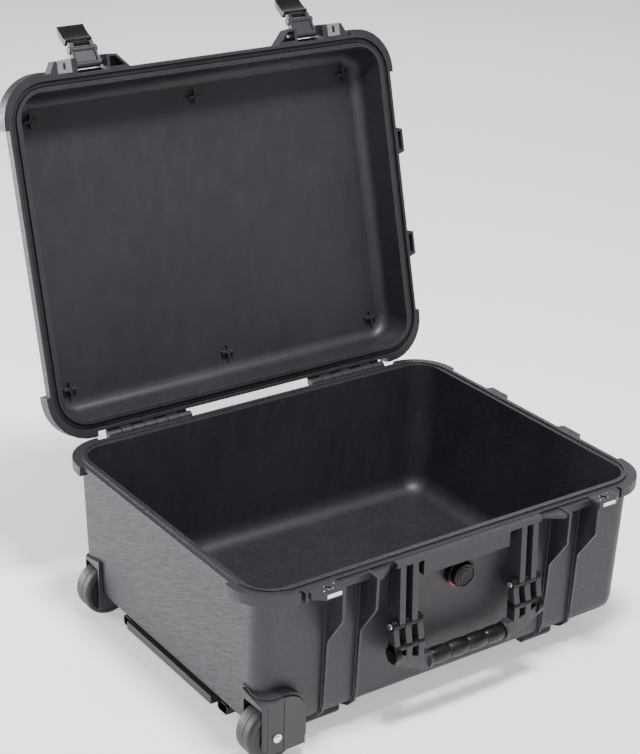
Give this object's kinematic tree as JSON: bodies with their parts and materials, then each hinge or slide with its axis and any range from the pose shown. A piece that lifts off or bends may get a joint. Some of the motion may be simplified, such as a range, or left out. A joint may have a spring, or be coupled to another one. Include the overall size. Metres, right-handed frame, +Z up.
{
  "type": "wheeled hard equipment case",
  "caption": "Hard-shell wheeled equipment case with an open hinged lid, draw latches, fold-down handles, pull-out trolley handle, corner wheels and a pressure valve.",
  "frame": {"origin": "on the ground under the middle of the case, at the bottom face of the moulded centre skid", "axes": "+X to the right along the long side (wheels at -X, trolley grip at +X), +Y to the back (hinge side), +Z up"},
  "size_m": [0.5668, 0.6266, 0.6714],
  "materials": {
    "shell": "fine moulded grain, dark charcoal",
    "moulded": "satin moulded, dark charcoal",
    "black_moulded": "fine texture, black",
    "grip_rubber": "soft overmould",
    "seal_rubber": "smooth cord",
    "tyre": "hard polyurethane tread",
    "red_ring": "smooth",
    "steel": "brushed stainless",
    "dark_steel": "blackened",
    "trolley_tube": "black anodised"
  },
  "bodies": {
    "base": {"base_shell": "shell", "valve_body": "moulded", "valve_cap": "black_moulded", "valve_seal_ring": "red_ring", "valve_lock_nut": "moulded", "padlock_insert_base_left": "steel", "padlock_insert_base_right": "steel", "hinge_pin_left": "steel", "hinge_pin_right": "steel", "front_handle_pin_left": "steel", "front_handle_pin_right": "steel", "side_handle_pin_front": "steel", "side_handle_pin_rear": "steel", "wheel_housing_front": "moulded", "wheel_housing_rear": "moulded", "wheel_axle_front": "steel", "wheel_axle_rear": "steel", "trolley_outer_tube_front": "trolley_tube", "trolley_outer_tube_rear": "trolley_tube", "underside_tray": "moulded", "tube_strap_left": "moulded", "tube_strap_right": "moulded", "tray_screw_left_front": "dark_steel", "tray_screw_left_rear": "dark_steel", "tray_screw_right_front": "dark_steel", "tray_screw_right_rear": "dark_steel"},
    "lid": {"lid_shell": "shell", "lid_seal_ring": "seal_rubber", "padlock_insert_lid_left": "steel", "padlock_insert_lid_right": "steel", "latch_pin_left": "dark_steel", "latch_pin_right": "dark_steel"},
    "latch_left": {"latch_arm_left": "moulded", "lever_pin_left": "dark_steel"},
    "lever_left": {"latch_lever_left": "black_moulded"},
    "latch_right": {"latch_arm_right": "moulded", "lever_pin_right": "dark_steel"},
    "lever_right": {"latch_lever_right": "black_moulded"},
    "front_handle": {"front_handle_frame": "moulded", "front_handle_grip": "grip_rubber"},
    "side_handle": {"side_handle_frame": "moulded", "side_handle_grip": "grip_rubber"},
    "wheel_front": {"wheel_tyre_front": "tyre", "wheel_hub_front": "moulded", "wheel_bearing_outer_front": "dark_steel", "wheel_bearing_inner_front": "dark_steel"},
    "wheel_rear": {"wheel_tyre_rear": "tyre", "wheel_hub_rear": "moulded", "wheel_bearing_outer_rear": "dark_steel", "wheel_bearing_inner_rear": "dark_steel"},
    "trolley": {"trolley_inner_tube_front": "trolley_tube", "trolley_inner_tube_rear": "trolley_tube", "trolley_grip": "moulded"},
    "trolley_button": {"trolley_release_button": "black_moulded"}
  },
  "joints": [
    {"name": "lid_hinge", "type": "hinge", "parent": "base", "child": "lid", "pos_m": [0, 0.2223, 0.205], "axis": [1, 0, 0], "range_deg": [0, 104.3]},
    {"name": "latch_left_pivot", "type": "hinge", "parent": "lid", "child": "latch_left", "pos_m": [-0.157, 0.34876, 0.6323], "axis": [1, 0, 0], "range_deg": [0, 105]},
    {"name": "lever_left_pivot", "type": "hinge", "parent": "latch_left", "child": "lever_left", "pos_m": [-0.157, 0.36463, 0.65406], "axis": [1, 0, 0], "range_deg": [0, 28]},
    {"name": "latch_right_pivot", "type": "hinge", "parent": "lid", "child": "latch_right", "pos_m": [0.157, 0.34876, 0.6323], "axis": [1, 0, 0], "range_deg": [0, 105]},
    {"name": "lever_right_pivot", "type": "hinge", "parent": "latch_right", "child": "lever_right", "pos_m": [0.157, 0.36463, 0.65406], "axis": [1, 0, 0], "range_deg": [0, 28]},
    {"name": "front_handle_pivot", "type": "hinge", "parent": "base", "child": "front_handle", "pos_m": [0, -0.22, 0.128], "axis": [-1, 0, 0], "range_deg": [0, 95]},
    {"name": "side_handle_pivot", "type": "hinge", "parent": "base", "child": "side_handle", "pos_m": [0.275, 0, 0.128], "axis": [0, -1, 0], "range_deg": [0, 95]},
    {"name": "wheel_front_spin", "type": "hinge", "parent": "base", "child": "wheel_front", "pos_m": [-0.2475, -0.193, 0.033], "axis": [0, 1, 0], "continuous": true},
    {"name": "wheel_rear_spin", "type": "hinge", "parent": "base", "child": "wheel_rear", "pos_m": [-0.2475, 0.169, 0.033], "axis": [0, 1, 0], "continuous": true},
    {"name": "trolley_slide", "type": "slide", "parent": "base", "child": "trolley", "axis": [1, 0, 0], "range_m": [0, 0.42]},
    {"name": "trolley_button_press", "type": "slide", "parent": "trolley", "child": "trolley_button", "axis": [-1, 0, 0], "range_m": [0, 0.003], "stiffness_N_per_m": 400}
  ]
}
